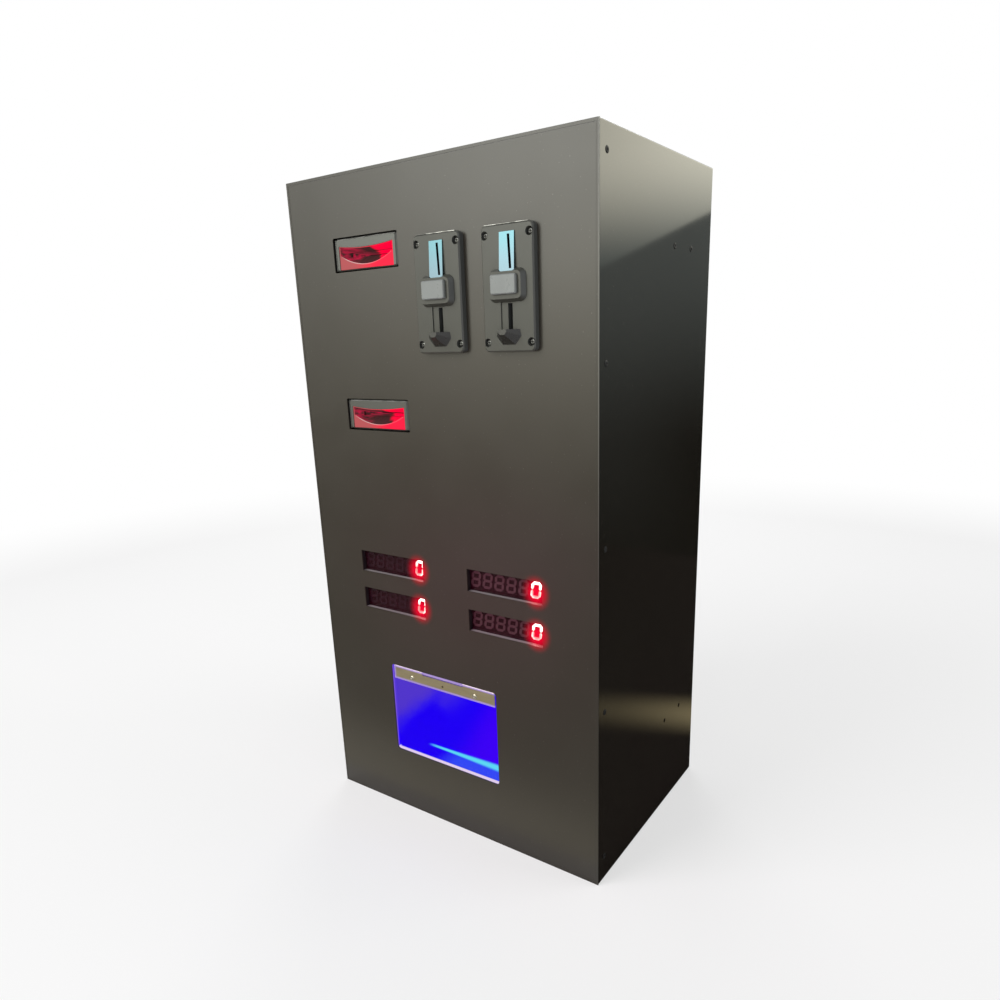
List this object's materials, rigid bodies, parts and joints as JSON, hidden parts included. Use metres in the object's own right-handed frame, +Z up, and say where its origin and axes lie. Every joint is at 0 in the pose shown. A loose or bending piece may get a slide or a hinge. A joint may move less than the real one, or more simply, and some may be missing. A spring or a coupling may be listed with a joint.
{
  "type": "coin changer dispenser",
  "caption": "Upright steel coin changer with banknote acceptors, sprung-button coin selectors, red digit displays and a blue-lit payout pocket behind a clear hinged flap.",
  "frame": {"origin": "centre of the cabinet's underside", "axes": "+X to the right seen from the front, +Y from the front panel into the cabinet, +Z up"},
  "size_m": [0.4316, 0.328, 0.835],
  "materials": {
    "cabinet_paint": "satin dark grey powder coat",
    "panel_paint": "satin dark grey powder coat",
    "plate_finish": "satin grey on cast zinc",
    "slot_chrome": "polished",
    "button_metal": "satin nickel",
    "fastener_steel": "zinc plated",
    "fastener_dark": "black",
    "hinge_steel": "brushed",
    "sheet_zinc": "galvanised",
    "tray_paint": "gloss white",
    "clear_acrylic": "clear polished",
    "red_acrylic": "dark red filter",
    "red_guide": "translucent red, lit",
    "bezel_plastic": "moulded",
    "housing_plastic": "moulded",
    "cash_box_plastic": "moulded",
    "display_frame": "moulded pale grey",
    "display_face": "digit blocks",
    "board_green": "solder mask",
    "hopper_plastic": "moulded",
    "disc_metal": "machined",
    "light_blue": "diffuser, lit",
    "spring_steel": "wire"
  },
  "bodies": {
    "cabinet": {"bill_bezel_lower": "bezel_plastic", "bill_bezel_upper": "bezel_plastic", "bill_head_lower": "housing_plastic", "bill_head_upper": "housing_plastic", "bill_throat_lower": "red_guide", "bill_throat_upper": "red_guide", "cabinet_shell": "cabinet_paint", "coin_chutes": "sheet_zinc", "coin_plate_left": "plate_finish", "coin_plate_right": "plate_finish", "coin_plate_screws": "fastener_dark", "coin_selector_body_left": "housing_plastic", "coin_selector_body_right": "housing_plastic", "coin_slot_insert_left": "slot_chrome", "coin_slot_insert_right": "slot_chrome", "control_board": "board_green", "display_board_left_lower": "display_face", "display_board_left_upper": "display_face", "display_board_right_lower": "display_face", "display_board_right_upper": "display_face", "display_filters": "red_acrylic", "display_frame_left": "display_frame", "display_frame_right": "display_frame", "door_hinge_frame_leaves": "hinge_steel", "door_hinge_pins": "fastener_steel", "flap_hinge_fixed_leaf": "hinge_steel", "flap_hinge_pin": "fastener_steel", "front_panel": "panel_paint", "hopper_base_left": "hopper_plastic", "hopper_base_right": "hopper_plastic", "hopper_bowl_left": "hopper_plastic", "hopper_bowl_right": "hopper_plastic", "hopper_shelf": "sheet_zinc", "mains_inlet": "housing_plastic", "payout_light": "light_blue", "payout_tray": "tray_paint", "power_supply": "sheet_zinc", "reject_spring_left": "spring_steel", "reject_spring_right": "spring_steel", "return_cup_left": "plate_finish", "return_cup_right": "plate_finish", "side_screws": "fastener_dark"},
    "door": {"rear_door": "cabinet_paint", "door_hinge_door_leaves": "hinge_steel", "lock_barrel": "slot_chrome"},
    "lock": {"lock_plug": "button_metal", "lock_cam": "sheet_zinc"},
    "rocker": {"power_rocker": "housing_plastic"},
    "flap": {"payout_flap": "clear_acrylic", "flap_hinge_moving_leaf": "hinge_steel", "flap_screws": "fastener_steel"},
    "button_left": {"reject_button_left": "button_metal"},
    "lever_left": {"reject_lever_left": "sheet_zinc"},
    "disc_left": {"hopper_disc_left": "disc_metal"},
    "button_right": {"reject_button_right": "button_metal"},
    "lever_right": {"reject_lever_right": "sheet_zinc"},
    "disc_right": {"hopper_disc_right": "disc_metal"},
    "cash_box_upper": {"bill_cash_box_upper": "cash_box_plastic"},
    "cash_box_lower": {"bill_cash_box_lower": "cash_box_plastic"}
  },
  "joints": [
    {"name": "flap_swing", "type": "hinge", "parent": "cabinet", "child": "flap", "pos_m": [-0.01475, -0.1456, 0.2165], "axis": [1, 0, 0], "range_deg": [0, 60]},
    {"name": "door_swing", "type": "hinge", "parent": "cabinet", "child": "door", "pos_m": [-0.195, 0.1535, 0.465], "axis": [0, 0, 1], "range_deg": [0, 110]},
    {"name": "lock_turn", "type": "hinge", "parent": "door", "child": "lock", "pos_m": [0.1695, 0.15, 0.465], "axis": [0, -1, 0], "range_deg": [0, 90]},
    {"name": "rocker_tilt", "type": "hinge", "parent": "cabinet", "child": "rocker", "pos_m": [-0.13, 0.1486, 0.067], "axis": [1, 0, 0], "range_deg": [0, 18]},
    {"name": "reject_press_left", "type": "slide", "parent": "cabinet", "child": "button_left", "axis": [0, 1, 0], "range_m": [0, 0.0035], "stiffness_N_per_m": 300, "springref_m": -0.003, "deforming": ["reject_spring_left"]},
    {"name": "reject_lever_tip_left", "type": "hinge", "parent": "cabinet", "child": "lever_left", "pos_m": [0.0134, -0.123, 0.6817], "axis": [-1, 0, 0], "range_deg": [0, 14]},
    {"name": "reject_press_right", "type": "slide", "parent": "cabinet", "child": "button_right", "axis": [0, 1, 0], "range_m": [0, 0.0035], "stiffness_N_per_m": 300, "springref_m": -0.003, "deforming": ["reject_spring_right"]},
    {"name": "reject_lever_tip_right", "type": "hinge", "parent": "cabinet", "child": "lever_right", "pos_m": [0.1058, -0.123, 0.6817], "axis": [-1, 0, 0], "range_deg": [0, 14]},
    {"name": "cash_box_slide_upper", "type": "slide", "parent": "cabinet", "child": "cash_box_upper", "axis": [0, 1, 0], "range_m": [0, 0.04]},
    {"name": "cash_box_slide_lower", "type": "slide", "parent": "cabinet", "child": "cash_box_lower", "axis": [0, 1, 0], "range_m": [0, 0.04]},
    {"name": "disc_spin_left", "type": "hinge", "parent": "cabinet", "child": "disc_left", "pos_m": [-0.078, 0.006, 0.287], "axis": [0, 0, 1], "continuous": true},
    {"name": "disc_spin_right", "type": "hinge", "parent": "cabinet", "child": "disc_right", "pos_m": [0.078, 0.006, 0.287], "axis": [0, 0, 1], "continuous": true}
  ],
  "couplings": [
    {"joint": "reject_lever_tip_left", "follows": "reject_press_left", "rad_per_m": 66.667},
    {"joint": "reject_lever_tip_right", "follows": "reject_press_right", "rad_per_m": 66.667}
  ]
}
